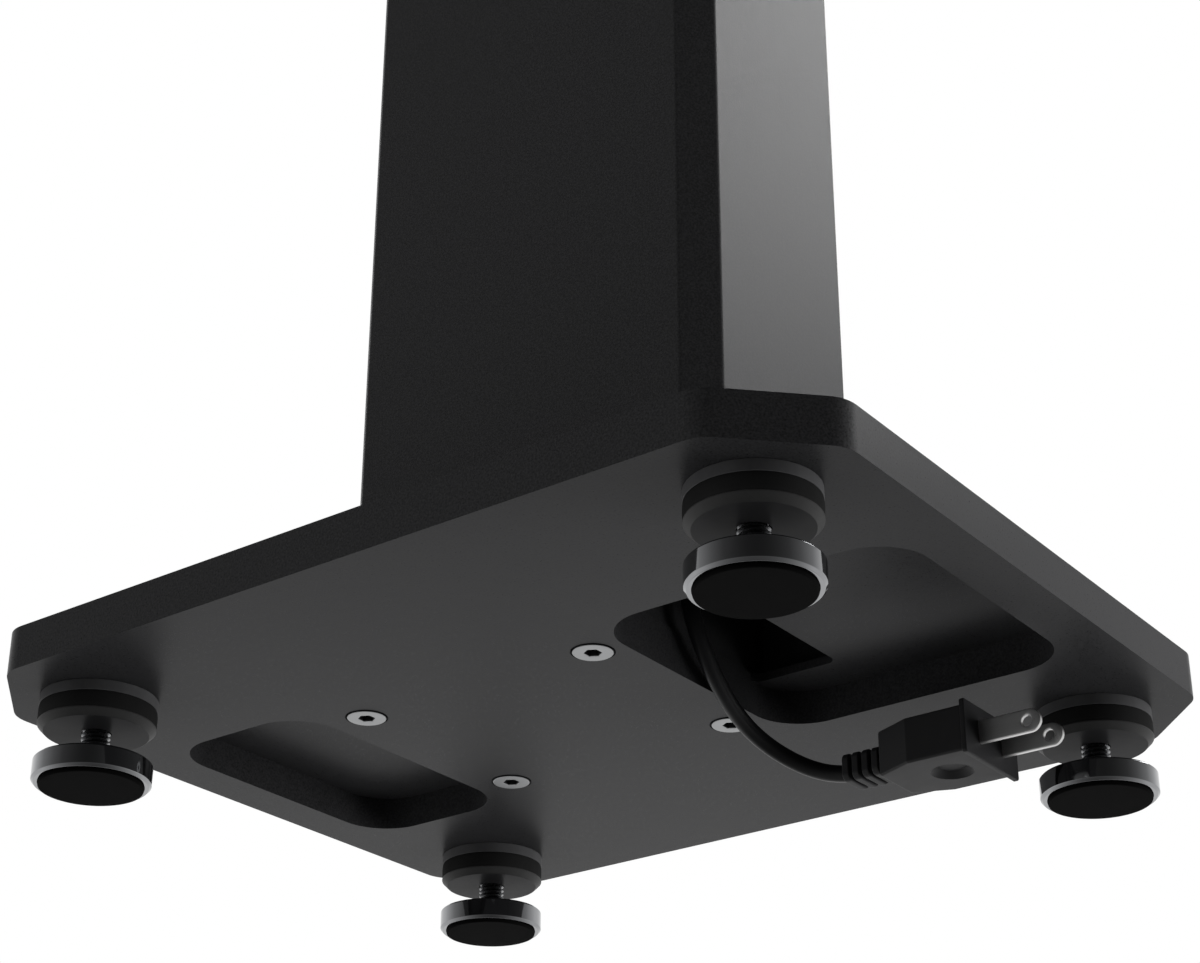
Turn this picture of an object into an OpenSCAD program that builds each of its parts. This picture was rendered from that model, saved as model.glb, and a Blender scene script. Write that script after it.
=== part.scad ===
// Floor stand for a bookshelf speaker, one of a pair.
// A steel base plate on four levelling feet carries an aluminium column and a steel top plate.
// Frame: origin on the floor under the middle of the base plate, +Z up, -Y is the front, +Y the rear.

/* [Base plate] */
// Width of the base plate, left to right
base_w = 232; // [220:1:300]
// Depth of the base plate, front to rear
base_d = 275; // [268:1:360]
// Thickness of the base plate
base_t = 12.5; // [12:0.5:20]
// Length of each 45 degree corner cut along the edge
base_cut = 24; // [10:1:28]
// Rounding where a corner cut meets an edge
base_edge_r = 10; // [3:1:12]

/* [Pockets in the underside] */
// Width of both pockets
pocket_w = 93; // [80:1:110]
// Depth of the pockets into the plate
pocket_deep = 10; // [5:0.5:11]
// Corner radius of the pockets
pocket_r = 15; // [6:1:20]
// Distance from the column's front face to the front pocket
pocket_gap = 5; // [4:0.5:20]
// Rim left between a pocket and the plate's front or rear edge
pocket_rim = 14.5; // [12:0.5:20]
// Width of the cable opening in the rear pocket's roof
opening_w = 63; // [30:1:66]
// Length of the cable opening, front to rear
opening_len = 27; // [15:1:28]
// Distance from the duct's front wall to the cable opening and the rear pocket
opening_in = 0.75; // [0.5:0.25:3]
// Corner radius of the cable opening
opening_r = 3; // [1:0.5:6]

/* [Column] */
// Width of the column
col_w = 80.5; // [76:0.5:100]
// Depth of the column
col_d = 130.5; // [128:0.5:160]
// Length of the column
col_len = 570.5; // [350:0.5:900]
// Length of each 45 degree corner chamfer along the side
col_cut = 8.5; // [4:0.5:12]
// Rounding where a chamfer meets a side
col_edge_r = 1.5; // [0.5:0.5:3]
// Wall thickness of the column
col_wall = 3; // [2.5:0.5:5]
// Thickness of the web between the filler chamber and the cable duct
web_t = 2.5; // [2:0.5:5]
// Inside depth of the cable duct
duct_len = 31; // [29:0.5:36]

/* [Column screws] */
// Nominal diameter of the column screws
screw_d = 6; // [4:0.5:6]
// Length of the base screws over the head
base_screw_len = 25; // [20:1:40]
// Length of the top screws over the head
top_screw_len = 20; // [14:1:30]
// Head diameter of the countersunk screws
screw_head_d = 12; // [9:0.5:12]
// Width across the flats of the hexagon socket
screw_key = 4; // [2.5:0.5:5]
// Depth of the hexagon socket
screw_key_deep = 2.6; // [1.5:0.1:3]
// Diameter of the hole through a plate for a column screw
screw_hole_d = 6.6; // [6.2:0.1:7.5]
// Outer diameter of the screw ports inside the column
port_d = 10.5; // [9:0.5:12]
// Distance from the column's side to the screw axis
port_in_x = 7.5; // [7:0.5:12]
// Distance from the column's front face to the front screw axis
port_in_front = 7.75; // [7:0.25:12]
// Distance from the web to the rear screw axis
port_in_web = 6.3; // [5.5:0.1:12]

/* [Top plate] */
// Width of the top plate
top_w = 180; // [165:1:260]
// Depth of the top plate
top_d = 230; // [200:1:320]
// Thickness of the top plate
top_t = 8; // [6:0.5:12]
// Length of each 45 degree corner cut of the top plate
top_cut = 20; // [8:1:22]
// Rounding where a corner cut of the top plate meets an edge
top_edge_r = 8; // [3:1:10]
// Diameter of the holes for the screws that hold a speaker
fix_hole_d = 6.6; // [4.5:0.1:8]
// Spacing of the speaker screw holes across the width
fix_pitch_x = 120; // [100:1:140]
// Spacing of the speaker screw holes along the depth
fix_pitch_y = 150; // [100:1:180]

/* [Speaker pads] */
// Diameter of the rubber pads under the speaker
rest_pad_d = 20; // [12:1:24]
// Thickness of the rubber pads under the speaker
rest_pad_t = 3; // [2:0.5:6]
// Distance from the top plate's sides to a pad's middle
rest_pad_in_x = 19; // [18:1:30]
// Distance from the top plate's front and rear edges to a pad's middle
rest_pad_in_y = 19; // [18:1:30]

/* [Filler bung] */
// Diameter of the filling hole
fill_d = 28; // [16:1:40]
// Diameter of the bung's flange
bung_flange_d = 36; // [30:1:44]
// Thickness of the bung's flange
bung_flange_t = 2.5; // [1.5:0.5:4]
// Length of the bung below its flange
bung_len = 12; // [8:1:25]
// Depth of the hollow in the bung
bung_hollow = 8; // [4:1:12]
// Wall of the bung
bung_wall = 3; // [2:0.5:5]

/* [Cable outlet] */
// Width of the window in the column's rear face
window_w = 44; // [30:1:48]
// Height of the window in the column's rear face
window_h = 24; // [18:1:40]
// Corner radius of the window
window_r = 6; // [3:0.5:8]
// Distance from the column's top end to the window's middle
window_down = 32; // [30:1:120]
// Width of the grommet's flange around the window
grommet_lip = 3; // [2:0.5:4]
// Thickness of each flange of the grommet
grommet_t = 1.5; // [1:0.5:2]
// Rubber left inside the window's edge
grommet_in = 2; // [1.5:0.5:4]

/* [Levelling feet] */
// Distance from the plate's side to a foot's axis
foot_in_x = 29.4; // [28:0.1:40]
// Distance from the plate's front or rear edge to a foot's axis
foot_in_y = 28.9; // [28:0.1:40]
// Diameter of the isolator
iso_d = 32.6; // [28:0.2:38]
// Thickness of the isolator's upper cap
iso_cap_t = 3.1; // [2.5:0.1:5]
// Thickness of the isolator's rubber
iso_rubber_t = 4.7; // [4:0.1:8]
// Thickness of the isolator's lower disc
iso_disc_t = 2.8; // [2:0.1:5]
// Diameter of the threaded hub on the lower disc
iso_hub_d = 14; // [12:0.5:16]
// Height of the threaded hub above the lower disc
iso_hub_h = 3.5; // [2:0.1:4]
// Diameter of the cap's threaded spigot
spigot_d = 12; // [11:0.5:14]
// Length of the cap's threaded spigot
spigot_len = 9.5; // [8:0.5:10]
// Nominal diameter of the stud
stud_d = 8; // [6:0.5:8]
// Pitch of the stud's thread
stud_pitch = 1.25; // [1:0.05:1.5]
// Length of stud that shows above the foot
stud_show = 7.9; // [7:0.1:14]
// Length of stud above the hub, which is the spare thread
stud_spare = 4; // [4:0.1:5]
// Diameter of the polished foot
cup_d = 32.7; // [31:0.1:40]
// Height of the polished foot without its bevel
cup_h = 6; // [5:0.1:10]
// Height of the bevel around the foot's lower edge
cup_bevel = 0.5; // [0.3:0.1:1.5]
// Diameter of the rubber pad in the foot
pad_d = 28.7; // [24:0.1:30]
// Thickness of the rubber pad in the foot
pad_t = 3.2; // [2:0.1:4]
// Height by which the rubber pad stands out of the foot
pad_proud = 1; // [0.5:0.1:1.5]

/* [Mains lead] */
// Diameter of the lead
cord_d = 4.8; // [4:0.1:4.8]
// Width of the plug's body
plug_w = 26.4; // [22:0.1:28]
// Height of the plug's body
plug_h = 12.9; // [11:0.1:13.5]
// Length of the plug's body
plug_len = 28.5; // [24:0.1:32]
// Width of the plug's body at the lead
plug_tail_w = 17; // [14:0.1:20]
// Length of the taper of the plug's body
plug_taper = 11.2; // [8:0.1:14]
// Width of the plug's flange
flange_w = 29.4; // [28:0.1:34]
// Height of the plug's flange
flange_h = 15.1; // [14.5:0.1:18]
// Thickness of the plug's flange
flange_t = 1.5; // [1:0.1:3]
// Diameter of the finger dimple in the plug
dimple_d = 12; // [8:0.5:14]
// Depth of the finger dimple
dimple_deep = 1.2; // [0.5:0.1:2]
// Length of the plug's ribbed tail
tail_len = 13.3; // [13:0.1:20]
// Number of ribs on the plug's tail
rib_count = 4; // [2:1:4]
// Pitch of the ribs
rib_pitch = 3.1; // [2.8:0.1:3.2]
// Width of the ribs
rib_w = 11.5; // [9:0.1:13]
// Height of the ribs
rib_h = 8; // [7:0.1:9]
// Thickness of the ribs
rib_t = 2.1; // [1.2:0.1:2.4]
// Spacing of the two blades
blade_pitch = 12.7; // [12:0.1:13]
// Width of a blade
blade_w = 6.4; // [5:0.1:7]
// Thickness of a blade
blade_t = 1.5; // [1.2:0.1:2]
// Length of a blade outside the plug
blade_len = 18; // [15:0.5:19]
// Length of a blade inside the plug
blade_root = 9; // [5:0.5:12]
// Diameter of the hole near a blade's tip
blade_hole_d = 3.2; // [2:0.1:3.5]
// Distance from a blade's tip to its hole
blade_hole_in = 4; // [3.5:0.1:6]

/* [Connector at the top of the lead] */
// Width of the connector
conn_w = 15.6; // [14:0.1:17]
// Thickness of the connector
conn_t = 8.6; // [8:0.1:9]
// Length of the connector's body
conn_len = 24; // [20:0.5:30]
// Height of the connector's top end above the window's middle
conn_rise = 3; // [-4:0.5:6]
// Length of the connector's tapered tail
conn_tail = 18; // [12:0.5:24]
// Spacing of the two contacts
contact_pitch = 8.6; // [8:0.1:9]
// Outer diameter of a contact sleeve
contact_d = 3.4; // [3:0.1:3.8]
// Bore of a contact sleeve
contact_bore = 2.5; // [2:0.1:2.6]
// Length of a contact sleeve
contact_len = 12; // [8:0.5:16]

/* [Cable clips] */
// Distance from the column's middle to the lead, to the right
cord_in_x = 9; // [-9:0.5:9]
// Distance from the web to the lead's axis
cord_in_y = 5.75; // [5.5:0.05:6.5]
// Number of clips that hold the lead in the duct
clip_count = 3; // [2:1:5]
// Width of a clip
clip_w = 12; // [10:0.5:16]
// Height of a clip
clip_h = 10; // [8:0.5:14]
// Wall of a clip around the lead
clip_wall = 1.4; // [1.2:0.1:2]
// Mouth of a clip
clip_mouth = 3.8; // [3:0.1:4]
// Height of the lowest clip above the base plate
clip_low = 13.5; // [10:0.5:30]

/* [Clearances] */
// Radial clearance of the stud in its thread
thread_clear = 0.05; // [0.02:0.01:0.08]
// Clearance around pieces that are bonded or seated
seat_clear = 0.1; // [0.05:0.01:0.15]
// Radial clearance of the pad in the turning foot
pad_clear = 0.1; // [0.05:0.01:0.15]
// Radial clearance of the cap's spigot in the base plate
spigot_clear = 0.05; // [0.02:0.01:0.1]
// Clearance of the lead in its clips
cord_clear = 0.15; // [0.1:0.01:0.2]

/* [Hidden] */

// Smoothness of every round shape
$fn = 64;
// Overrun of cuts past the faces that they break through
over = 1;

// Heights of the stack from the floor up
cup_low = pad_proud;
cup_high = cup_low + cup_bevel + cup_h;
disc_low = cup_high + stud_show;
rubber_low = disc_low + iso_disc_t;
cap_low = rubber_low + iso_rubber_t;
base_low = cap_low + iso_cap_t;
base_high = base_low + base_t;
col_high = base_high + col_len;
top_high = col_high + top_t;

// Plan positions in the base plate and the column
col_rear_y = col_d / 2;
duct_y = col_rear_y - col_wall - duct_len;
web_y = duct_y - web_t;
front_pocket_y = -base_d / 2 + pocket_rim;
front_pocket_len = -col_d / 2 - pocket_gap - front_pocket_y;
rear_pocket_y = duct_y + opening_in;
rear_pocket_len = base_d / 2 - pocket_rim - rear_pocket_y;
foot_x = base_w / 2 - foot_in_x;
foot_y = base_d / 2 - foot_in_y;
port_x = col_w / 2 - port_in_x;
port_front_y = -col_d / 2 + port_in_front;
port_rear_y = web_y - port_in_web;
fill_y = (port_front_y + port_rear_y) / 2;
window_z = col_high - window_down;
cord_x = cord_in_x;
cord_y = duct_y + cord_in_y;

// Sizes that follow from the driving ones
half_share = 0.5;
head_rim = 0.4;
head_cone = (screw_head_d - screw_d) / 2;
sink_r = screw_head_d / 2 + seat_clear;
sink_deep = sink_r - screw_hole_d / 2;
thread_share = 0.6;
thread_deep = thread_share * stud_pitch;
spigot_room = 0.5;
spigot_bore = stud_d + 2 * spigot_room;
spigot_roof = 1.2;
spigot_hole_deep = spigot_len + spigot_room;
disc_chamfer = 0.6;
cup_seat_deep = pad_t - pad_proud;
stud_seat_deep = 2.2;
stud_tip = 0.8;
stud_len = stud_seat_deep + stud_show + iso_disc_t + iso_hub_h + stud_spare;
port_deep = 30;
port_hole_d = screw_d + 2 * thread_clear;
dimple_share = 0.62;
rib_round_share = 0.25;
boot_wall = 0.7;
boot_d = cord_d + 2 * boot_wall;
contact_floor = 1.4;
contact_inset = 0.2;

// Corner signs and names of the four corners
CORNERS = [["front_left", -1, -1], ["front_right", 1, -1], ["rear_left", -1, 1], ["rear_right", 1, 1]];

// Route of the lead from the lowest clip to the plug's tail, chosen by hand
ROUTE = [
  [9, 37, 52],
  [8.7, 37.1, 46.3],
  [7.2, 37.4, 40.7],
  [4.6, 37.5, 35.7],
  [0.8, 37.2, 31.5],
  [-3.8, 36.4, 28.2],
  [-8.9, 35.4, 25.7],
  [-14.2, 34.4, 23.6],
  [-19.7, 33.7, 21.7],
  [-25.1, 33.6, 19.7],
  [-30.3, 34.5, 17.5],
  [-35, 36.6, 15.1],
  [-38.9, 39.9, 12.6],
  [-41.6, 44.4, 10.2],
  [-43, 49.6, 8.4]
];
// Place of the plug on the floor
plug_x = -43.5;
plug_y = 68.5;
plug_z = flange_h / 2;
tail_end = [plug_x, plug_y - tail_len, plug_z];
cord_sides = 8;

// Heights of the lead, its clips and the connector parked behind the window
lead_low_z = base_high + clip_low;
conn_top_z = window_z + conn_rise;
conn_low_z = conn_top_z - conn_len;
lead_top_z = conn_low_z - conn_tail;
clip_span_share = 0.8;
clip_span = (lead_top_z - base_high) * clip_span_share;

// A convex outline through points, with every corner rounded to radius r
function unit(v) = v / norm(v);
function to_prev(p, i) = unit(p[(i + len(p) - 1) % len(p)] - p[i]);
function to_next(p, i) = unit(p[(i + 1) % len(p)] - p[i]);
function half_angle(p, i) = acos(to_prev(p, i) * to_next(p, i)) / 2;
function corner_tangents(p, r) = [
  for (i = [0 : len(p) - 1])
    for (d = [to_prev(p, i), to_next(p, i)]) p[i] + d * r / tan(half_angle(p, i))
];
function corner_centre(p, i, r) = p[i] + unit(to_prev(p, i) + to_next(p, i)) * r / sin(half_angle(p, i));

module rounded_outline(p, r) {
  polygon(corner_tangents(p, r));
  for (i = [0 : len(p) - 1]) translate(corner_centre(p, i, r)) circle(r);
}

// Outline of a rectangle with 45 degree corner cuts, centred
function cut_rectangle(w, d, c) = [
  [-w / 2 + c, -d / 2], [w / 2 - c, -d / 2], [w / 2, -d / 2 + c], [w / 2, d / 2 - c],
  [w / 2 - c, d / 2], [-w / 2 + c, d / 2], [-w / 2, d / 2 - c], [-w / 2, -d / 2 + c]
];
// Outline of a rectangle centred across the width, from y to y + d
function slot_rectangle(w, y, d) = [[-w / 2, y], [w / 2, y], [w / 2, y + d], [-w / 2, y + d]];

module at_z(z) {
  translate([0, 0, z]) children();
}

module at_corners(x, y) {
  for (c = CORNERS) translate([c[1] * x, c[2] * y, 0]) children();
}

module at_ports() {
  for (x = [-port_x, port_x]) for (y = [port_front_y, port_rear_y]) translate([x, y, 0]) children();
}

// Countersunk hole through a plate, with its head face at z = 0
module screw_cut(depth) {
  at_z(-over) cylinder(d = screw_hole_d, h = depth + 2 * over);
  at_z(-over) cylinder(r = sink_r, h = over + head_rim);
  at_z(head_rim) cylinder(r1 = sink_r, r2 = screw_hole_d / 2, h = sink_deep);
}

// Base plate with two pockets, the cable opening and the countersunk holes
module base_plate() {
  color([0.16, 0.16, 0.16])
  difference() {
    at_z(base_low) linear_extrude(base_t)
      rounded_outline(cut_rectangle(base_w, base_d, base_cut), base_edge_r);
    at_z(base_low - over) linear_extrude(pocket_deep + over) {
      rounded_outline(slot_rectangle(pocket_w, front_pocket_y, front_pocket_len), pocket_r);
      rounded_outline(slot_rectangle(pocket_w, rear_pocket_y, rear_pocket_len), pocket_r);
    }
    at_z(base_low) linear_extrude(base_t + over)
      rounded_outline(slot_rectangle(opening_w, rear_pocket_y, opening_len), opening_r);
    at_ports() at_z(base_low) screw_cut(base_t);
    at_corners(foot_x, foot_y) at_z(base_low - over)
      cylinder(d = spigot_d + 2 * spigot_clear, h = spigot_hole_deep + over);
  }
}

// Countersunk screw with a hexagon socket, head face at z = 0 and shank upwards
module countersunk_screw(length) {
  difference() {
    rotate_extrude() polygon([
      [0, 0], [screw_head_d / 2, 0], [screw_head_d / 2, head_rim], [screw_d / 2, head_rim + head_cone],
      [screw_d / 2, length - stud_tip], [screw_d / 2 - stud_tip, length], [0, length]
    ]);
    at_z(-over) cylinder(d = screw_key / cos(30), h = screw_key_deep + over, $fn = 6);
  }
}

module base_screws() {
  color([0.62, 0.62, 0.62]) at_ports() at_z(base_low) countersunk_screw(base_screw_len);
}

module top_screws() {
  color([0.1, 0.1, 0.1]) at_ports() at_z(top_high) mirror([0, 0, 1]) countersunk_screw(top_screw_len);
}

// Extruded column with a filler chamber in front, a cable duct behind and four screw ports
module column_section() {
  inner_cut = col_cut - col_wall * (2 - sqrt(2));
  difference() {
    rounded_outline(cut_rectangle(col_w, col_d, col_cut), col_edge_r);
    difference() {
      polygon(cut_rectangle(col_w - 2 * col_wall, col_d - 2 * col_wall, inner_cut));
      translate([-col_w / 2, web_y]) square([col_w, web_t]);
      at_ports() circle(d = port_d);
      for (x = [-1, 1]) for (y = [port_front_y, port_rear_y])
        translate([x > 0 ? port_x : -col_w / 2, y - col_wall / 2]) square([col_w / 2 - port_x, col_wall]);
      for (x = [-port_x, port_x]) {
        translate([x - col_wall / 2, port_rear_y]) square([col_wall, web_y - port_rear_y + web_t / 2]);
        translate([x - col_wall / 2, -col_d / 2]) square([col_wall, port_front_y + col_d / 2]);
      }
    }
  }
}

module column() {
  color([0.13, 0.13, 0.13])
  difference() {
    at_z(base_high) linear_extrude(col_len) column_section();
    at_ports() {
      at_z(base_high - over) cylinder(d = port_hole_d, h = port_deep + over);
      at_z(col_high - port_deep) cylinder(d = port_hole_d, h = port_deep + over);
    }
    translate([0, col_rear_y - col_wall - over, window_z]) rotate([-90, 0, 0])
      linear_extrude(col_wall + 2 * over)
        rounded_outline(slot_rectangle(window_w, -window_h / 2, window_h), window_r);
  }
}

// Rubber grommet that lines the window
module outlet_grommet() {
  lip_w = window_w + 2 * grommet_lip;
  lip_h = window_h + 2 * grommet_lip;
  in_w = window_w - 2 * grommet_in;
  in_h = window_h - 2 * grommet_in;
  neck_w = window_w - 2 * seat_clear;
  neck_h = window_h - 2 * seat_clear;
  color([0.08, 0.08, 0.08])
  translate([0, col_rear_y - col_wall, window_z]) rotate([-90, 0, 0])
  difference() {
    union() {
      at_z(-grommet_t) linear_extrude(grommet_t)
        rounded_outline(slot_rectangle(lip_w, -lip_h / 2, lip_h), window_r + grommet_lip);
      linear_extrude(col_wall) rounded_outline(slot_rectangle(neck_w, -neck_h / 2, neck_h), window_r);
      at_z(col_wall) linear_extrude(grommet_t)
        rounded_outline(slot_rectangle(lip_w, -lip_h / 2, lip_h), window_r + grommet_lip);
    }
    at_z(-grommet_t - over) linear_extrude(col_wall + 2 * grommet_t + 2 * over)
      rounded_outline(slot_rectangle(in_w, -in_h / 2, in_h), window_r - grommet_in);
  }
}

// Top plate that carries the speaker
module top_plate() {
  color([0.16, 0.16, 0.16])
  difference() {
    at_z(col_high) linear_extrude(top_t)
      rounded_outline(cut_rectangle(top_w, top_d, top_cut), top_edge_r);
    at_ports() at_z(top_high) mirror([0, 0, 1]) screw_cut(top_t);
    translate([0, fill_y, col_high - over]) cylinder(d = fill_d, h = top_t + 2 * over);
    translate([0, fill_y, top_high - bung_flange_t])
      cylinder(d = bung_flange_d + 2 * seat_clear, h = bung_flange_t + over);
    at_corners(fix_pitch_x / 2, fix_pitch_y / 2) at_z(col_high - over)
      cylinder(d = fix_hole_d, h = top_t + 2 * over);
  }
}

// Rubber bung that closes the filling hole, flush with the top plate
module filler_bung() {
  color([0.07, 0.07, 0.07])
  translate([0, fill_y, top_high])
  difference() {
    union() {
      at_z(-bung_flange_t) cylinder(d = bung_flange_d, h = bung_flange_t);
      at_z(-bung_flange_t - bung_len)
        cylinder(d = fill_d - 2 * seat_clear, h = bung_len + bung_flange_t / 2);
    }
    at_z(-bung_flange_t - bung_len - over) cylinder(d = fill_d - 2 * bung_wall, h = bung_hollow + over);
  }
}

module speaker_pad(c) {
  color([0.05, 0.05, 0.05])
  translate([c[1] * (top_w / 2 - rest_pad_in_x), c[2] * (top_d / 2 - rest_pad_in_y), top_high])
    cylinder(d = rest_pad_d, h = rest_pad_t);
}

// Isolator: a cap with a hollow threaded spigot, a rubber ring and a disc with a threaded hub
module isolator_cap() {
  color([0.1, 0.1, 0.1])
  difference() {
    union() {
      at_z(cap_low) cylinder(d = iso_d, h = iso_cap_t);
      at_z(base_low) cylinder(d = spigot_d, h = spigot_len);
    }
    at_z(cap_low - over) cylinder(d = spigot_bore, h = iso_cap_t + spigot_len - spigot_roof + over);
  }
}

module isolator_rubber() {
  color([0.04, 0.04, 0.04])
  at_z(rubber_low) difference() {
    cylinder(d = iso_d, h = iso_rubber_t);
    at_z(-over) cylinder(d = iso_hub_d + 2 * seat_clear, h = iso_rubber_t + 2 * over);
  }
}

module isolator_disc() {
  color([0.1, 0.1, 0.1])
  difference() {
    rotate_extrude() polygon([
      [0, disc_low], [iso_d / 2 - disc_chamfer, disc_low], [iso_d / 2, disc_low + disc_chamfer],
      [iso_d / 2, rubber_low], [iso_hub_d / 2, rubber_low], [iso_hub_d / 2, rubber_low + iso_hub_h],
      [0, rubber_low + iso_hub_h]
    ]);
    at_z(disc_low - over) cylinder(d = stud_d + 2 * thread_clear, h = iso_disc_t + iso_hub_h + 2 * over);
  }
}

// Threaded stud, with its thread as a stack of ridges
module stud() {
  low = cup_high - stud_seat_deep;
  turns = floor((stud_len - stud_seat_deep - stud_tip) / stud_pitch);
  color([0.45, 0.45, 0.45])
  rotate_extrude() polygon(concat(
    [[0, low], [stud_d / 2, low], [stud_d / 2, cup_high]],
    [for (k = [0 : turns - 1]) for (p = [
      [stud_d / 2 - thread_deep, cup_high + (k + half_share) * stud_pitch],
      [stud_d / 2, cup_high + (k + 1) * stud_pitch]
    ]) p],
    [[stud_d / 2 - stud_tip, low + stud_len], [0, low + stud_len]]
  ));
}

// Polished foot that turns on the stud, with a seat for the pad
module foot() {
  color([0.02, 0.02, 0.02])
  difference() {
    rotate_extrude() polygon([
      [0, cup_low], [cup_d / 2 - cup_bevel, cup_low], [cup_d / 2, cup_low + cup_bevel],
      [cup_d / 2, cup_high - cup_bevel], [cup_d / 2 - cup_bevel, cup_high], [0, cup_high]
    ]);
    at_z(cup_low - over) cylinder(d = pad_d + 2 * pad_clear, h = cup_seat_deep + over);
    at_z(cup_high - stud_seat_deep) cylinder(d = stud_d + 2 * thread_clear, h = stud_seat_deep + over);
  }
}

module foot_pad() {
  color([0.05, 0.05, 0.05]) cylinder(d = pad_d, h = pad_t);
}

// Clips that hold the lead against the web
module clip_block(w, h, bore_d, mouth) {
  reach = bore_d / 2 + clip_wall;
  difference() {
    union() {
      translate([-w / 2, duct_y - cord_y, 0]) cube([w, clip_wall, h]);
      translate([-reach, duct_y - cord_y, 0]) cube([2 * reach, cord_y - duct_y + reach / 2, h]);
    }
    at_z(-over) cylinder(d = bore_d, h = h + 2 * over);
    translate([-mouth / 2, 0, -over]) cube([mouth, bore_d, h + 2 * over]);
  }
}

module cable_clips() {
  color([0.12, 0.12, 0.12])
  for (k = [0 : clip_count - 1])
    translate([cord_x, cord_y, lead_low_z + k * clip_span / (clip_count - 1)])
      clip_block(clip_w, clip_h, cord_d + 2 * cord_clear, clip_mouth);
}

// Lead inside the column, from the lowest clip up to the connector
module lead_in_column() {
  color([0.1, 0.1, 0.1])
    translate([cord_x, cord_y, lead_low_z]) cylinder(d = cord_d, h = lead_top_z - lead_low_z);
}

// Two-hole connector at the top end of the lead
module connector_section(w, t) {
  square([w - t, t], center = true);
  for (x = [-1, 1]) translate([x * (w - t) / 2, 0]) circle(d = t);
}

module connector_body() {
  color([0.09, 0.09, 0.09])
  translate([cord_x, cord_y, 0])
  difference() {
    union() {
      at_z(conn_low_z) linear_extrude(conn_len) connector_section(conn_w, conn_t);
      at_z(lead_top_z) cylinder(d1 = boot_d, d2 = conn_t - 2 * boot_wall, h = conn_tail);
    }
    for (x = [-1, 1]) translate([x * contact_pitch / 2, 0, conn_top_z - contact_len])
      cylinder(d = contact_d, h = contact_len + over);
  }
}

module connector_contacts() {
  color([0.8, 0.65, 0.3])
  for (x = [-1, 1]) translate([cord_x + x * contact_pitch / 2, cord_y, conn_top_z - contact_len])
  difference() {
    cylinder(d = contact_d, h = contact_len - contact_inset);
    at_z(contact_floor) cylinder(d = contact_bore, h = contact_len);
  }
}

// Clip that holds the connector behind the window
module connector_clip() {
  reach_x = conn_w / 2 + clip_wall + seat_clear;
  reach_y = conn_t / 2 + seat_clear + clip_wall / 2;
  color([0.12, 0.12, 0.12])
  translate([cord_x, cord_y, conn_low_z])
  difference() {
    translate([-reach_x, duct_y - cord_y, 0]) cube([2 * reach_x, cord_y - duct_y + reach_y, clip_h]);
    at_z(-over) linear_extrude(clip_h + 2 * over)
      connector_section(conn_w + 2 * seat_clear, conn_t + 2 * seat_clear);
    translate([-conn_w / 2 + clip_wall, 0, -over])
      cube([conn_w - 2 * clip_wall, conn_t, clip_h + 2 * over]);
  }
}

// Plug with a flange, a ribbed tail and two blades, lying on the floor
function plug_outline() = [
  [-plug_tail_w / 2, 0], [plug_tail_w / 2, 0], [plug_w / 2, plug_taper],
  [plug_w / 2, plug_len], [-plug_w / 2, plug_len], [-plug_w / 2, plug_taper]
];

module rib() {
  rotate([-90, 0, 0]) linear_extrude(rib_t)
    rounded_outline(slot_rectangle(rib_w, -rib_h / 2, rib_h), rib_h * rib_round_share);
}

module blade_shape(grow) {
  linear_extrude(blade_t + 2 * grow, center = true) {
    translate([-blade_root - grow, -blade_w / 2 - grow])
      square([blade_root + blade_len - blade_w / 2 + grow, blade_w + 2 * grow]);
    translate([blade_len - blade_w / 2, 0]) circle(d = blade_w + 2 * grow);
  }
}

module at_blade(side) {
  translate([plug_x + side * blade_pitch / 2, plug_y + plug_len + flange_t, plug_z])
    rotate([0, 0, 90]) rotate([90, 0, 0]) children();
}

module plug_body() {
  color([0.1, 0.1, 0.1])
  difference() {
    union() {
      translate([plug_x, plug_y, plug_z - plug_h / 2]) linear_extrude(plug_h) polygon(plug_outline());
      translate([plug_x - flange_w / 2, plug_y + plug_len, plug_z - flange_h / 2])
        cube([flange_w, flange_t, flange_h]);
      translate(tail_end) {
        rotate([-90, 0, 0]) cylinder(d = boot_d, h = tail_len + over);
        for (k = [0 : rib_count - 1]) translate([0, k * rib_pitch, 0]) rib();
      }
    }
    for (s = [-1, 1]) at_blade(s) blade_shape(seat_clear / 2);
    for (s = [-1, 1])
      translate([plug_x, plug_y + plug_len * dimple_share, plug_z + s * (plug_h / 2 - dimple_deep + over)])
        cylinder(d = dimple_d, h = 2 * over, center = true);
  }
}

module plug_blade(side) {
  color([0.75, 0.75, 0.75])
  difference() {
    at_blade(side) blade_shape(0);
    at_blade(side) translate([blade_len - blade_hole_in, 0, -blade_t])
      cylinder(d = blade_hole_d, h = 2 * blade_t);
  }
}

// Tube swept along points, with its end faces square to the first and last directions
function slide_frame(n, t) = unit(n - (n * t) * t);
function tangent_at(p, i, first, last) =
  i == 0 ? first : i == len(p) - 1 ? last : unit(p[i + 1] - p[i - 1]);
function normals(p, first, last, i = 0, found = []) =
  i == len(p) ? found :
  let (n = slide_frame(i == 0 ? [1, 0, 0] : found[i - 1], tangent_at(p, i, first, last)))
  normals(p, first, last, i + 1, concat(found, [n]));

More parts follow.
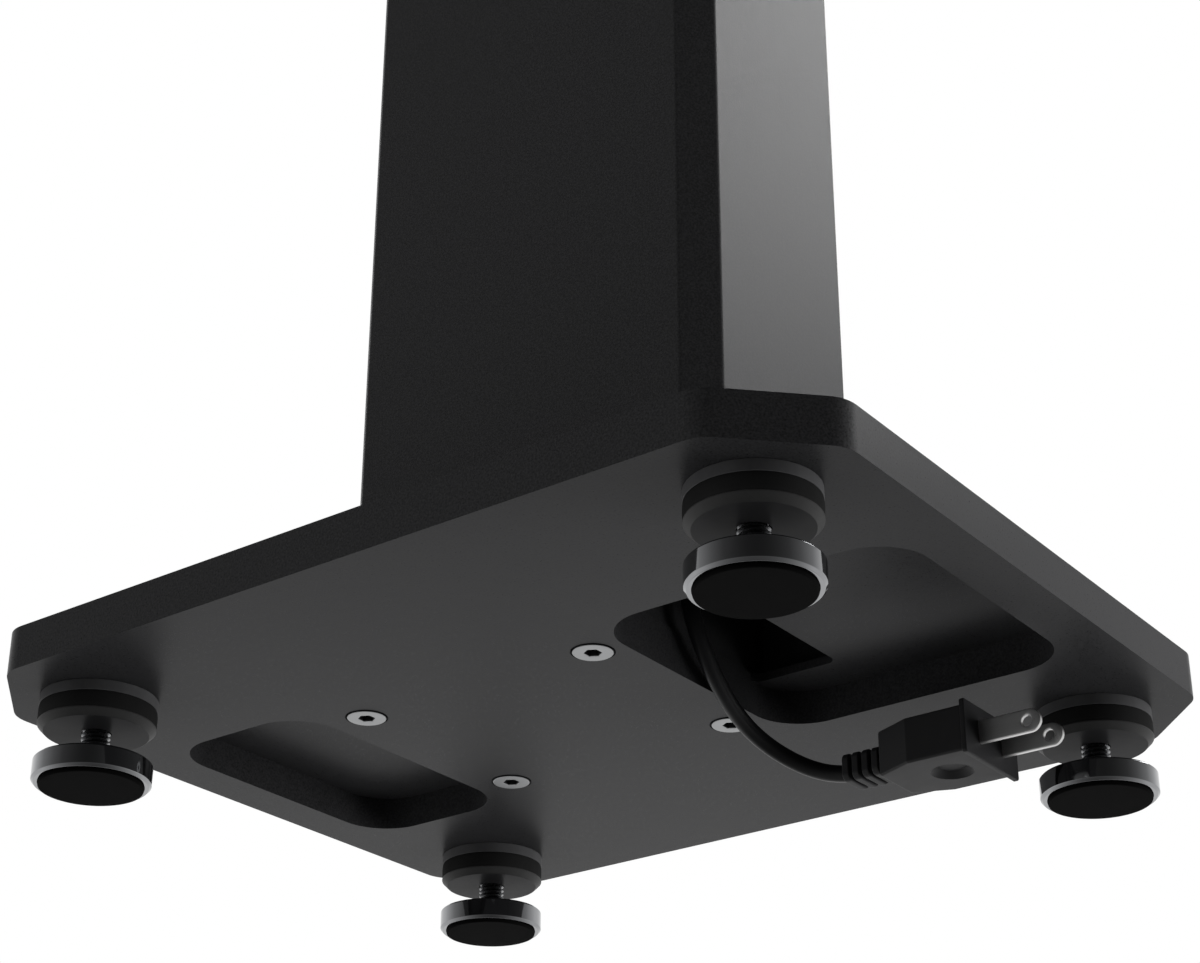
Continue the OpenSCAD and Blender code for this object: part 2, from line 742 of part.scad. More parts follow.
module swept_tube(p, first, last, d, sides) {
  n = normals(p, first, last);
  rings = [
    for (i = [0 : len(p) - 1]) let (t = tangent_at(p, i, first, last))
      for (k = [0 : sides - 1]) let (a = 360 * k / sides)
        p[i] + d / 2 * (cos(a) * n[i] + sin(a) * cross(t, n[i]))
  ];
  last_ring = (len(p) - 1) * sides;
  faces = concat(
    [[for (k = [0 : sides - 1]) k]],
    [for (i = [0 : len(p) - 2]) for (k = [0 : sides - 1])
      for (f = [[i * sides + k, (i + 1) * sides + k, (i + 1) * sides + (k + 1) % sides],
                [i * sides + k, (i + 1) * sides + (k + 1) % sides, i * sides + (k + 1) % sides]]) f],
    [[for (k = [sides - 1 : -1 : 0]) last_ring + k]]
  );
  polyhedron(rings, faces);
}

module lead_tail() {
  color([0.1, 0.1, 0.1])
    swept_tube(concat(ROUTE, [tail_end]), [0, 0, -1], [0, 1, 0], cord_d, cord_sides);
}

base_plate();
base_screws();
column();
top_plate();
top_screws();
filler_bung();
outlet_grommet();
cable_clips();
connector_clip();
lead_in_column();
connector_body();
connector_contacts();
lead_tail();
plug_body();
plug_blade(1);  // plug_blade_left
plug_blade(-1);  // plug_blade_right
for (c = CORNERS) {
  speaker_pad(c);
  translate([c[1] * foot_x, c[2] * foot_y, 0]) {
    isolator_cap();
    isolator_rubber();
    isolator_disc();
    stud();
    foot();
    foot_pad();
  }
}
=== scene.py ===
"""Speaker stand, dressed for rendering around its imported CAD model.

Run as a script. Lengths are metres in the CAD model's frame: origin on the floor under the middle of
the base plate, +Z up, -Y the front, +Y the rear.
"""

import math

import bmesh
import bpy
from mathutils import Matrix, Vector


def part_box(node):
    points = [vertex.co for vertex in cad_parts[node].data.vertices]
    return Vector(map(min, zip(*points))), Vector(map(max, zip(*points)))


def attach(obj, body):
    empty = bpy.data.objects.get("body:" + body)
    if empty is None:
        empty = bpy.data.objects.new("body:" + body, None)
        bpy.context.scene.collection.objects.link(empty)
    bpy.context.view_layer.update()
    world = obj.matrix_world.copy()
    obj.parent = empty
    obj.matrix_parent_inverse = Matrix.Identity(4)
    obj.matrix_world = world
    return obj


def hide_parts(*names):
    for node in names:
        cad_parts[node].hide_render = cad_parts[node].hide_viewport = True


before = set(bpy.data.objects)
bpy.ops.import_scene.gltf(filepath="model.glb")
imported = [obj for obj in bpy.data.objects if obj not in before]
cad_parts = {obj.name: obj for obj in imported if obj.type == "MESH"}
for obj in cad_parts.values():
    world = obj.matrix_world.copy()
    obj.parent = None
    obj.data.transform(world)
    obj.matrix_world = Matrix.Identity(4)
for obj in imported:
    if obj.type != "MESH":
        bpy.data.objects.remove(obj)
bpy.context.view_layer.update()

bl_info = {
    "name": "Speaker stand",
    "version": (1, 0, 0),
    "blender": (4, 5, 0),
    "location": "3D View > Sidebar > Speaker stand",
    "description": "Builds the visible pieces, the finishes and the stage of a speaker stand",
    "category": "Object",
}

MM = 0.001
SAME_POINT = 1e-7  # vertices nearer to each other, or to an axis, than this are one
CORNERS = ("front_left", "front_right", "rear_left", "rear_right")

# Camera, worked out from the photograph: angles in degrees, lens in millimetres on a sensor of 36
CAMERA_PLACE = (0.495592, 0.370616, -0.219745)
CAMERA_ANGLES = (116.2391, -0.1348, 126.7083)
CAMERA_LENS = 71.1833
CAMERA_SHIFT = 0.03

# The world's light: its level, and the direction towards the side where it gives none
WORLD_LEVEL = 1.1
DIM_SIDE = (0.37, 0.89, -0.26)

# Studio cloth: the direction in which it is darkest, and its grey at each share of the way there
DARK_SIDE = (0.733, 0.533, 0.42)
CLOTH_GREYS = ((0.3, 1.0), (0.44, 0.68), (0.54, 0.43), (0.72, 0.2), (0.85, 0.09), (1.0, 0.03))
CLOTH_RADIUS = 3.0

# Lamps: where they stand, the height over the origin that they look at, and their power in watts
SOFT_BOX_WAY, SOFT_BOX_DISTANCE = (-0.533, 0.36, 0.766), 1.7
SOFT_BOX_AIM, SOFT_BOX_POWER = 0.2, 31
FILL_PLACE, FILL_SIZE = (-0.57, 0.81, -0.14), 0.6
FILL_AIM, FILL_POWER = 0.03, 11

FLOOR_SIDE = 8

# Route of the lead from the lowest clip to the plug's tail, as in the CAD source
LEAD_ROUTE = (
    (0.009, 0.037, 0.052),
    (0.0087, 0.0371, 0.0463),
    (0.0072, 0.0374, 0.0407),
    (0.0046, 0.0375, 0.0357),
    (0.0008, 0.0372, 0.0315),
    (-0.0038, 0.0364, 0.0282),
    (-0.0089, 0.0354, 0.0257),
    (-0.0142, 0.0344, 0.0236),
    (-0.0197, 0.0337, 0.0217),
    (-0.0251, 0.0336, 0.0197),
    (-0.0303, 0.0345, 0.0175),
    (-0.035, 0.0366, 0.0151),
    (-0.0389, 0.0399, 0.0126),
    (-0.0416, 0.0444, 0.0102),
    (-0.043, 0.0496, 0.0084),
    (-0.0435, 0.0552, 0.00755),
)

# The plug lies along Y: its middle line is at this x and z, and its grip begins at this y
PLUG_X, PLUG_START, PLUG_Z = -43.5 * MM, 68.5 * MM, 7.55 * MM

# Heights in millimetres above the floor of the faces where pieces meet
STUD_SEAT = 5.3
DISC_FACE, DISC_BACK = 16.0, 18.2
RUBBER_TOP = 22.9
PLATE_UNDERSIDE = 26
TOP_FACE = 617

# Profiles of the turned pieces as (radius, height) pairs in millimetres. The caps' and the feet's
# corners are rounded later. The others are drawn with their roundings.
CAP = ((0, 34.3), (4.5, 34.3), (4.5, RUBBER_TOP), (16.3, RUBBER_TOP), (16.3, PLATE_UNDERSIDE),
       (6, PLATE_UNDERSIDE), (6, 35.5), (0, 35.5))
RUBBER = ((7.1, DISC_BACK), (16.08, DISC_BACK), (16.22, 18.5), (16.3, 19.4), (16.3, 21.7), (16.22, 22.6),
          (16.08, RUBBER_TOP), (7.1, RUBBER_TOP))
DISC = ((4.05, 16.2), (4.25, DISC_FACE), (14.42, DISC_FACE), (14.56, 16.06), (16.24, 17.74),
        (16.3, 17.88), (16.3, 18.1), (16.22, DISC_BACK), (7, DISC_BACK), (7, 21.5), (6.8, 21.7),
        (4.25, 21.7), (4.05, 21.5))
FOOT = ((0, 3.2), (14.45, 3.2), (14.45, 1), (15.6, 1), (16.35, 1.75), (16.35, 7), (15.85, 7.5),
        (4.05, 7.5), (4.05, STUD_SEAT), (0, STUD_SEAT))
PAD = ((0, 0), (14, 0), (14.25, 0.1), (14.35, 0.35), (14.35, 3.06), (14.25, 3.16), (0, 3.16))
REST = ((0, TOP_FACE), (9.7, TOP_FACE), (10, 617.2), (10, 619), (9.75, 619.6), (9.2, 619.93), (8.4, 620),
        (7.2, 620), (6.8, 619.7), (0, 619.6))
BUNG = ((0, 610.5), (11, 610.5), (11, 602.9), (11.4, 602.5), (13.5, 602.5), (13.9, 602.9), (13.9, 614.5),
        (17.7, 614.5), (18, 614.7), (18, 616.5), (17.6, 616.95), (16.9, TOP_FACE), (14.6, TOP_FACE),
        (14.2, 616.6), (13.4, 616.6), (13, TOP_FACE), (0, TOP_FACE))

# The column's screws in millimetres: their places, and the height of the lower heads' faces, which stand
# a little proud of the plate. Then the steps round a screw
PORT_X, PORT_Y = 32.75, (-57.5, 22.45)
LOWER_HEADS = 25.68
SCREW_STEPS = 72


def linear(code):
    """Turns an sRGB hex colour into the linear values that a shader takes."""
    parts = [int(code[i : i + 2], 16) / 255 for i in (1, 3, 5)]
    return [p / 12.92 if p <= 0.04045 else ((p + 0.055) / 1.055) ** 2.4 for p in parts]


def metres(points):
    """Turns pairs in millimetres into pairs in metres."""
    return [(r * MM, z * MM) for r, z in points]


def under(node):
    """The place on the floor under the middle of a CAD node."""
    low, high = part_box(node)
    spot = (high + low) / 2
    return (spot.x, spot.y, 0)


# Values that a user would change


class StandSizes(bpy.types.PropertyGroup):
    """Sizes of the small forms that the CAD model leaves out, and of the lamp"""

    plate_edge: bpy.props.FloatProperty(
        name="Plate edge", description="Rounding of the steel plates' edges",
        default=0.2 * MM, unit="LENGTH",
    )
    column_edge: bpy.props.FloatProperty(
        name="Column edge", description="Rounding of the column's cut ends",
        default=0.3 * MM, unit="LENGTH",
    )
    turned_edge: bpy.props.FloatProperty(
        name="Turned edge", description="Rounding of the turned feet and isolator caps",
        default=0.15 * MM, unit="LENGTH",
    )
    thread_pitch: bpy.props.FloatProperty(
        name="Thread pitch", description="Pitch of the studs' M8 thread",
        default=1.25 * MM, unit="LENGTH",
    )
    lead_diameter: bpy.props.FloatProperty(
        name="Lead diameter", description="Outside diameter of the mains lead",
        default=4.8 * MM, unit="LENGTH",
    )
    plug_edge: bpy.props.FloatProperty(
        name="Plug edge", description="Rounding of the moulded plug's edges",
        default=0.7 * MM, unit="LENGTH",
    )
    coat_grain: bpy.props.FloatProperty(
        name="Coat grain", description="Grain size of the powder coat",
        default=0.55 * MM, unit="LENGTH",
    )
    lamp_size: bpy.props.FloatProperty(
        name="Lamp size", description="Side of the square soft lamp",
        default=0.9, unit="LENGTH",
    )


class StandColours(bpy.types.PropertyGroup):
    """Colours of the finishes that show most"""

    powder_coat: bpy.props.FloatVectorProperty(
        name="Powder coat", description="Steel plates",
        subtype="COLOR", size=3, default=linear("#272728"),
    )
    column_coat: bpy.props.FloatVectorProperty(
        name="Column coat", description="Extruded column",
        subtype="COLOR", size=3, default=linear("#282829"),
    )
    bright_screw: bpy.props.FloatVectorProperty(
        name="Bright screws", description="Zinc plated base screws",
        subtype="COLOR", size=3, default=linear("#949596"),
    )
    black_steel: bpy.props.FloatVectorProperty(
        name="Black steel", description="Isolator discs",
        subtype="COLOR", size=3, default=linear("#2f2f2f"),
    )
    black_chrome: bpy.props.FloatVectorProperty(
        name="Black chrome", description="Polished feet",
        subtype="COLOR", size=3, default=linear("#8c8d8f"),
    )
    rubber: bpy.props.FloatVectorProperty(
        name="Rubber", description="Isolator rings, speaker pads, bung and grommet",
        subtype="COLOR", size=3, default=linear("#1e1e1e"),
    )
    lead: bpy.props.FloatVectorProperty(
        name="Lead", description="Jacket of the mains lead",
        subtype="COLOR", size=3, default=linear("#131314"),
    )
    plug: bpy.props.FloatVectorProperty(
        name="Plug", description="Moulded plug and connector",
        subtype="COLOR", size=3, default=linear("#1d1d1e"),
    )
    blade: bpy.props.FloatVectorProperty(
        name="Blades", description="Nickel plated plug blades",
        subtype="COLOR", size=3, default=linear("#d4d4d3"),
    )
    floor: bpy.props.FloatVectorProperty(
        name="Floor", description="Pale studio floor",
        subtype="COLOR", size=3, default=linear("#ececec"),
    )


# Node helpers and finishes


def add(tree, kind, links=None, **settings):
    """Adds one shader node with its settings, its input values and its input links."""
    made = tree.nodes.new("ShaderNode" + kind)
    for name, value in settings.items():
        setattr(made, name, value)
    for socket, value in (links or {}).items():
        if isinstance(value, bpy.types.NodeSocket):
            tree.links.new(value, made.inputs[socket])
        else:
            made.inputs[socket].default_value = value
    return made


def start_finish(name):
    """An empty node material, its node tree, and a piece's own coordinates in that tree."""
    finish = bpy.data.materials.new(name)
    finish.use_nodes = True
    tree = finish.node_tree
    tree.nodes.clear()
    return finish, tree, add(tree, "TexCoord").outputs["Object"]


def two_shades(factor, colour, low, high):
    """Inputs of a Mix node for a colour that varies between two shades of itself, which go in 6 and 7."""
    dark = [c * low for c in colour] + [1.0]
    light = [min(1.0, c * high) for c in colour] + [1.0]
    return {0: factor, 6: dark, 7: light}


def end_finish(finish, shades, gloss, relief, shader):
    """Joins the parts of a finish in one shader. Each part is given as the inputs of its node."""
    tree = finish.node_tree
    varying = {
        "Base Color": add(tree, "Mix", shades, data_type="RGBA").outputs[2],
        "Roughness": add(tree, "MapRange", gloss).outputs["Result"],
        "Normal": add(tree, "Bump", relief).outputs["Normal"],
    }
    surface = add(tree, "BsdfPrincipled", {**varying, **shader})
    add(tree, "OutputMaterial", {"Surface": surface.outputs[0]})
    return finish


def powder_coated(name, colour, grain, roughness, shine, streaks=0.0):
    """Polyester powder coat: a cured film over blasted metal, with a fine grain and a soft orange peel.
    The eye sees a satin black with a faint sparkle of specks. Streaks are the die lines of an extrusion."""
    finish, tree, place = start_finish(name)
    speck = add(tree, "TexNoise", {"Vector": place, "Scale": 1 / grain, "Detail": 2.0, "Roughness": 0.6})
    speck = speck.outputs["Fac"]
    peel = add(tree, "TexNoise", {"Vector": place, "Scale": 1 / (9 * grain), "Detail": 1.0}).outputs["Fac"]
    spread = add(tree, "MapRange", {"Value": speck, "From Min": 0.35, "From Max": 0.7})
    height = add(tree, "Math", {0: speck, 1: peel}, operation="ADD").outputs[0]
    if streaks:
        across, down = 1 / (1.1 * MM), 1 / (400 * MM)
        drawn = add(tree, "Mapping", {"Vector": place, "Scale": (across, across, down)})
        lines = add(tree, "TexNoise", {"Vector": drawn.outputs[0], "Scale": 1.0, "Detail": 2.0})
        soft = add(tree, "Math", {0: lines.outputs["Fac"], 1: streaks}, operation="MULTIPLY").outputs[0]
        height = add(tree, "Math", {0: height, 1: soft}, operation="ADD").outputs[0]
    return end_finish(
        finish,
        two_shades(spread.outputs["Result"], colour, 0.72, 1.35),
        {"Value": speck, "From Min": 0.3, "From Max": 0.7,
         "To Min": roughness - 0.06, "To Max": roughness + 0.08},
        {"Height": height, "Strength": 0.3, "Distance": 0.06 * MM},
        {"Specular IOR Level": shine},
    )


def zinc_plated(name, colour, roughness):
    """Zinc plated steel: cold headed and barrel plated, so it is bright with a faint cloudy grain."""
    finish, tree, place = start_finish(name)
    cloud = add(tree, "TexNoise", {"Vector": place, "Scale": 1 / (1.6 * MM), "Detail": 3.0}).outputs["Fac"]
    grit = add(tree, "TexNoise", {"Vector": place, "Scale": 1 / (0.25 * MM), "Detail": 2.0}).outputs["Fac"]
    return end_finish(
        finish,
        two_shades(cloud, colour, 0.88, 1.1),
        {"Value": cloud, "To Min": roughness - 0.06, "To Max": roughness + 0.1},
        {"Height": grit, "Strength": 0.12, "Distance": 0.02 * MM},
        {"Metallic": 1.0},
    )


def black_oxide_and_painted_shade(name, colour):
    """Alloy steel blackened in a hot salt bath and oiled: dark grey metal with a soft sheen. On the bright
    screws it is painted shade.
    """
    finish, tree, place = start_finish(name)
    grit = add(tree, "TexNoise", {"Vector": place, "Scale": 1 / (0.4 * MM), "Detail": 3.0}).outputs["Fac"]
    return end_finish(
        finish,
        two_shades(grit, colour, 0.8, 1.25),
        {"Value": grit, "To Min": 0.34, "To Max": 0.5},
        {"Height": grit, "Strength": 0.15, "Distance": 0.02 * MM},
        {"Metallic": 1.0},
    )


def turned_black_steel(name, colour, roughness=0.48, shine=0.12):
    """Turned mild steel under a thin satin black stove enamel: the lathe's fine rings still show through.
    The rings are 0.35 mm apart, coarser than a real feed of 0.1 mm, so that they show."""
    finish, tree, place = start_finish(name)
    waves_in_one = 20  # a wave node at scale 1 has this many waves in a unit
    rings = add(tree, "TexWave", {"Vector": place, "Scale": 1 / (0.35 * MM) / waves_in_one,
                                  "Distortion": 0.4, "Detail": 1.0}, wave_type="RINGS", rings_direction="Z")
    cloud = add(tree, "TexNoise", {"Vector": place, "Scale": 1 / (2.5 * MM), "Detail": 2.0}).outputs["Fac"]
    return end_finish(
        finish,
        two_shades(cloud, colour, 0.85, 1.2),
        {"Value": cloud, "To Min": roughness - 0.06, "To Max": roughness + 0.07},
        {"Height": rings.outputs["Fac"], "Strength": 0.06, "Distance": 0.02 * MM},
        {"Specular IOR Level": shine},
    )


def black_chrome(name, colour):
    """Black chrome plate on polished steel: a dark mirror with the faint waviness of hand polishing."""
    finish, tree, place = start_finish(name)
    wave = add(tree, "TexNoise", {"Vector": place, "Scale": 1 / (14 * MM), "Detail": 1.0}).outputs["Fac"]
    haze = add(tree, "TexNoise", {"Vector": place, "Scale": 1 / (1.2 * MM), "Detail": 2.0}).outputs["Fac"]
    return end_finish(
        finish,
        two_shades(wave, colour, 0.94, 1.06),
        {"Value": haze, "To Min": 0.05, "To Max": 0.1},
        {"Height": wave, "Strength": 0.05, "Distance": 0.1 * MM},
        {"Metallic": 1.0},
    )


def moulded_rubber(name, colour):
    """Rubber, press moulded and filled with carbon black: nearly black and matt, with a fine tooth."""
    finish, tree, place = start_finish(name)
    tooth = add(tree, "TexNoise", {"Vector": place, "Scale": 1 / (0.3 * MM), "Detail": 3.0,
                                   "Roughness": 0.6})
    bloom = add(tree, "TexNoise", {"Vector": place, "Scale": 1 / (7 * MM), "Detail": 2.0})
    return end_finish(
        finish,
        two_shades(bloom.outputs["Fac"], colour, 0.85, 1.2),
        {"Value": tooth.outputs["Fac"], "To Min": 0.68, "To Max": 0.85},
        {"Height": tooth.outputs["Fac"], "Strength": 0.25, "Distance": 0.04 * MM},
        {"Specular IOR Level": 0.015},
    )


def extruded_pvc(name, colour):
    """Plasticised PVC jacket, extruded: satin black with a faint unevenness along the lead."""
    finish, tree, place = start_finish(name)
    wave = add(tree, "TexNoise", {"Vector": place, "Scale": 1 / (5 * MM), "Detail": 2.0}).outputs["Fac"]
    grit = add(tree, "TexNoise", {"Vector": place, "Scale": 1 / (0.35 * MM), "Detail": 2.0}).outputs["Fac"]
    height = add(tree, "Math", {0: wave, 1: grit}, operation="ADD").outputs[0]
    return end_finish(
        finish,
        two_shades(wave, colour, 0.85, 1.15),
        {"Value": grit, "To Min": 0.3, "To Max": 0.4},
        {"Height": height, "Strength": 0.15, "Distance": 0.05 * MM},
        {"Specular IOR Level": 0.13},
    )


def moulded_pvc(name, colour):
    """PVC moulded in a spark eroded tool: matt black with an even, fine leathery tooth of about 0.3 mm."""
    finish, tree, place = start_finish(name)
    tooth = add(tree, "TexVoronoi", {"Vector": place, "Scale": 1 / (0.32 * MM)}, feature="SMOOTH_F1")
    cloud = add(tree, "TexNoise", {"Vector": place, "Scale": 1 / (6 * MM), "Detail": 2.0}).outputs["Fac"]
    return end_finish(
        finish,
        two_shades(cloud, colour, 0.88, 1.15),
        {"Value": cloud, "To Min": 0.48, "To Max": 0.58},
        {"Height": tooth.outputs["Distance"], "Strength": 0.2, "Distance": 0.03 * MM},
        {"Specular IOR Level": 0.2},
    )


def rolled_metal(name, colour, along, roughness):
    """Rolled and stamped brass strip, plated or bare: bright, with fine rolling lines along its length."""
    finish, tree, place = start_finish(name)
    fine, long = 1 / (0.12 * MM), 1 / (12 * MM)
    stretch = [long if axis == along else fine for axis in range(3)]
    drawn = add(tree, "Mapping", {"Vector": place, "Scale": stretch})
    lines = add(tree, "TexNoise", {"Vector": drawn.outputs[0], "Scale": 1.0, "Detail": 2.0}).outputs["Fac"]
    return end_finish(
        finish,
        two_shades(lines, colour, 0.9, 1.08),
        {"Value": lines, "To Min": roughness - 0.05, "To Max": roughness + 0.08},
        {"Height": lines, "Strength": 0.08, "Distance": 0.01 * MM},
        {"Metallic": 1.0},
    )


def moulded_nylon(name, colour):
    """Black nylon, injection moulded: satin, slightly uneven where it shrank in the tool."""
    finish, tree, place = start_finish(name)
    cloud = add(tree, "TexNoise", {"Vector": place, "Scale": 1 / (3 * MM), "Detail": 3.0}).outputs["Fac"]
    return end_finish(
        finish,
        two_shades(cloud, colour, 0.85, 1.2),
        {"Value": cloud, "To Min": 0.38, "To Max": 0.52},
        {"Height": cloud, "Strength": 0.1, "Distance": 0.05 * MM},
        {},
    )


FINISHES = {}


def finish_of(key):
    """The finish of a material slot of the record, or one of the three kept beside them, made once."""
    sizes, colours = bpy.context.scene.stand_sizes, bpy.context.scene.stand_colours
    grain = sizes.coat_grain
    makers = {
        "powder_coat": lambda: powder_coated(
            "powder_coated_steel", colours.powder_coat, grain, roughness=0.33, shine=0.055
        ),
        "coated_column": lambda: powder_coated(
            "powder_coated_aluminium", colours.column_coat, grain, roughness=0.48, shine=0.06, streaks=0.25
        ),
        "steel_screws": lambda: zinc_plated("zinc_plated_steel", colours.bright_screw, roughness=0.34),
        # Black oxide of the top screws, and painted shade in the bright screws' gaps and sockets
        "black_screws": lambda: black_oxide_and_painted_shade("black_oxide_and_painted_shade", linear("#3c3c3e")),
        "black_steel": lambda: turned_black_steel("enamelled_turned_steel", colours.black_steel),
        # Lighter copy of the isolators' enamel for the caps: painted light
        "lightened_cap_steel": lambda: turned_black_steel("enamel_with_painted_light", linear("#434344")),
        # Darker copy of the isolators' enamel for the discs' undersides: painted shade
        "shaded_face_steel": lambda: turned_black_steel(
            "enamel_with_painted_shade", linear("#252526"), roughness=0.33, shine=0.031
        ),
        "zinc_steel": lambda: zinc_plated("zinc_plated_thread", linear("#707173"), roughness=0.24),
        "black_chrome": lambda: black_chrome("black_chrome_plate", colours.black_chrome),
        "rubber": lambda: moulded_rubber("natural_rubber", colours.rubber),
        # Darker copy of the rubber for the feet's pads: painted shade against the light from below
        "shaded_pad_rubber": lambda: moulded_rubber("rubber_with_painted_shade", linear("#0b0b0b")),
        "lead_jacket": lambda: extruded_pvc("extruded_pvc", colours.lead),
        "plug_plastic": lambda: moulded_pvc("moulded_pvc", colours.plug),
        "blade_metal": lambda: rolled_metal("nickel_plated_brass", colours.blade, along=1, roughness=0.34),
        "contact_brass": lambda: rolled_metal("spring_brass", linear("#c9a35a"), along=2, roughness=0.28),
        "clip_plastic": lambda: moulded_nylon("black_nylon", linear("#1f1f20")),
    }
    if key not in FINISHES:
        FINISHES[key] = makers[key]()
    return FINISHES[key]


# Shapes


def outline(corners, radius, inset, steps=7):
    """Points of a convex outline, listed anticlockwise, with rounded corners, drawn in by inset."""
    points = []
    count = len(corners)
    for i in range(count):
        corner, before, after = (Vector(corners[k % count]) for k in (i, i - 1, i + 1))
        back, on = (before - corner).normalized(), (after - corner).normalized()
        half = back.angle(on) / 2
        centre = corner + (back + on).normalized() * radius / math.sin(half)
        first = math.atan2(back.x, -back.y)
        for k in range(steps + 1):
            a = first + (math.pi - 2 * half) * k / steps
            points.append(centre + (radius - inset) * Vector((math.cos(a), math.sin(a))))
    return points


def circle(radius, inset=0.0, centre=(0.0, 0.0), steps=64):
    """Points of a circle, drawn in by inset."""
    turns = [2 * math.pi * k / steps for k in range(steps)]
    return [Vector(centre) + (radius - inset) * Vector((math.cos(a), math.sin(a))) for a in turns]


def box_corners(width, depth):
    """Corners of a rectangle round the origin."""
    w, d = width / 2, depth / 2
    return [(-w, -d), (w, -d), (w, d), (-w, d)]


def edge_line(low, high, edge, steps=3):
    """(inset, height) pairs down the side of a plate whose two edges are rounded."""
    turn = [math.pi / 2 * k / steps for k in range(steps + 1)]
    lower = [(edge * (1 - math.sin(a)), low + edge * (1 - math.cos(a))) for a in turn]
    upper = [(inset, low + high - z) for inset, z in reversed(lower)]
    return lower + upper


def ring(bm, points, z):
    """Adds a ring of vertices at one height."""
    return [bm.verts.new((p[0], p[1], z)) for p in points]


def skin(bm, rings, closed=True):
    """Adds the faces between neighbouring rings."""
    for low, high in zip(rings, rings[1:]):
        count = len(low)
        for k in range(count if closed else count - 1):
            n = (k + 1) % count
            bm.faces.new((low[k], low[n], high[n], high[k]))


def fill(bm, outer, inner=()):
    """Adds a flat face inside a ring, with rings left open in it."""
    if not inner:
        bm.faces.new(outer)
        return
    edges = []
    for loop in (outer, *inner):
        for a, b in zip(loop, loop[1:] + loop[:1]):
            edges.append(bm.edges.get((a, b)) or bm.edges.new((a, b)))
    bmesh.ops.triangle_fill(bm, use_beauty=True, edges=edges)


def place_new(bm, start, place):
    """Moves the vertices that were added after the first start ones."""
    bm.verts.ensure_lookup_table()
    bmesh.ops.transform(bm, matrix=place, verts=bm.verts[start:])


def slab(bm, shape, low, high, edge, place, holes=()):
    """Adds a plate between two heights, its edges rounded. Shapes give their points for an inset."""
    start = len(bm.verts)
    rings = [ring(bm, shape(inset), z) for inset, z in edge_line(low, high, edge)]
    skin(bm, rings)
    cuts = []
    for hole in holes:
        cut = [ring(bm, hole(-inset), z) for inset, z in edge_line(low, high, edge)]
        skin(bm, cut)
        cuts.append(cut)
    fill(bm, rings[0], [cut[0] for cut in cuts])
    fill(bm, rings[-1], [cut[-1] for cut in cuts])
    place_new(bm, start, place)


def fillet(points, radius, steps=3):
    """Line of (r, z) points with its corners rounded, the ends kept."""
    most = 0.4  # share of a side that a rounding may take, so that two on it stay apart
    made = [points[0]]
    for before, corner, after in zip(points, points[1:], points[2:]):
        c = Vector(corner)
        back, on = Vector(before) - c, Vector(after) - c
        reach = min(radius, most * back.length, most * on.length)
        a, b = c + back.normalized() * reach, c + on.normalized() * reach
        for k in range(steps + 1):
            t = k / steps
            made.append(tuple((1 - t) ** 2 * a + 2 * t * (1 - t) * c + t * t * b))
    made.append(points[-1])
    return made


def turned(bm, line, steps=96, closed=False):
    """Adds a body of revolution from a line of (r, z) points. A point on the axis closes the body."""
    rings = []
    for r, z in line:
        rings.append([bm.verts.new((0, 0, z))] if r < SAME_POINT else ring(bm, circle(r, steps=steps), z))
    pairs = list(zip(rings, rings[1:])) + ([(rings[-1], rings[0])] if closed else [])
    for a, b in pairs:
        for k in range(steps):
            n = (k + 1) % steps
            if len(a) == 1:
                bm.faces.new((a[0], b[n], b[k]))
            elif len(b) == 1:
                bm.faces.new((a[k], a[n], b[0]))
            else:
                bm.faces.new((a[k], a[n], b[n], b[k]))


def keep_flat(made):
    """Keeps flat faces evenly lit beside their rounded edges."""
    flat = made.modifiers.new("Flat faces stay flat", "WEIGHTED_NORMAL")
    flat.keep_sharp = True


def piece(name, bm, slot, body, replaces, at=(0.0, 0.0, 0.0), sharp=50, finishes=()):
    """Turns a mesh into a piece that rides on a body and stands for CAD nodes. Its finish is its slot's,
    unless finishes names others, in the order of its faces' material numbers."""
    bmesh.ops.remove_doubles(bm, verts=bm.verts, dist=SAME_POINT)
    bmesh.ops.recalc_face_normals(bm, faces=bm.faces)
    mesh = bpy.data.meshes.new(name)
    bm.to_mesh(mesh)
    bm.free()
    mesh.shade_smooth()
    mesh.set_sharp_from_angle(angle=math.radians(sharp))
    for key in finishes or (slot,):
        mesh.materials.append(finish_of(key))
    made = bpy.data.objects.new(name, mesh)
    made.location = at
    bpy.context.scene.collection.objects.link(made)
    keep_flat(made)
    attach(made, body)
    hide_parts(*replaces)
    return made


def turned_piece(name, line, slot, body, node, at, sharp=50, steps=96, closed=False, finishes=()):
    """Makes a piece by turning a line of (r, z) points."""
    bm = bmesh.new()
    turned(bm, line, steps, closed)
    return piece(name, bm, slot, body, [node], at, sharp, finishes)


def dress(node, slot, edge, steps=2):
    """Gives a CAD node its finish and breaks its sharp edges."""
    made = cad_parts[node]
    made.data.materials.clear()
    made.data.materials.append(finish_of(slot))
    weld = made.modifiers.new("Join the faces", "WELD")
    weld.merge_threshold = 1e-6
    thin = made.modifiers.new("Merge flat faces", "DECIMATE")
    thin.decimate_type = "DISSOLVE"
    thin.angle_limit = math.radians(0.5)
    bevel = made.modifiers.new("Break the edges", "BEVEL")
    bevel.width = edge
    bevel.segments = steps
    bevel.limit_method = "ANGLE"
    bevel.angle_limit = math.radians(35)
    made.data.shade_smooth()
    keep_flat(made)


# Stage


def hide_from(made, *rays):
    """Hides an object from some kinds of ray."""
    for ray in rays:
        setattr(made, "visible_" + ray, False)


def soft_lamp(scene, name, size, power, place, height):
    """Adds a square lamp that looks at a height over the origin."""
    lamp = bpy.data.lights.new(name, "AREA")
    lamp.shape = "SQUARE"
    lamp.size = size
    lamp.energy = power
    made = bpy.data.objects.new(name, lamp)
    made.location = place
    aim = Vector((0, 0, height)) - made.location
    made.rotation_euler = aim.to_track_quat("-Z", "Y").to_euler()
    scene.collection.objects.link(made)
    return made


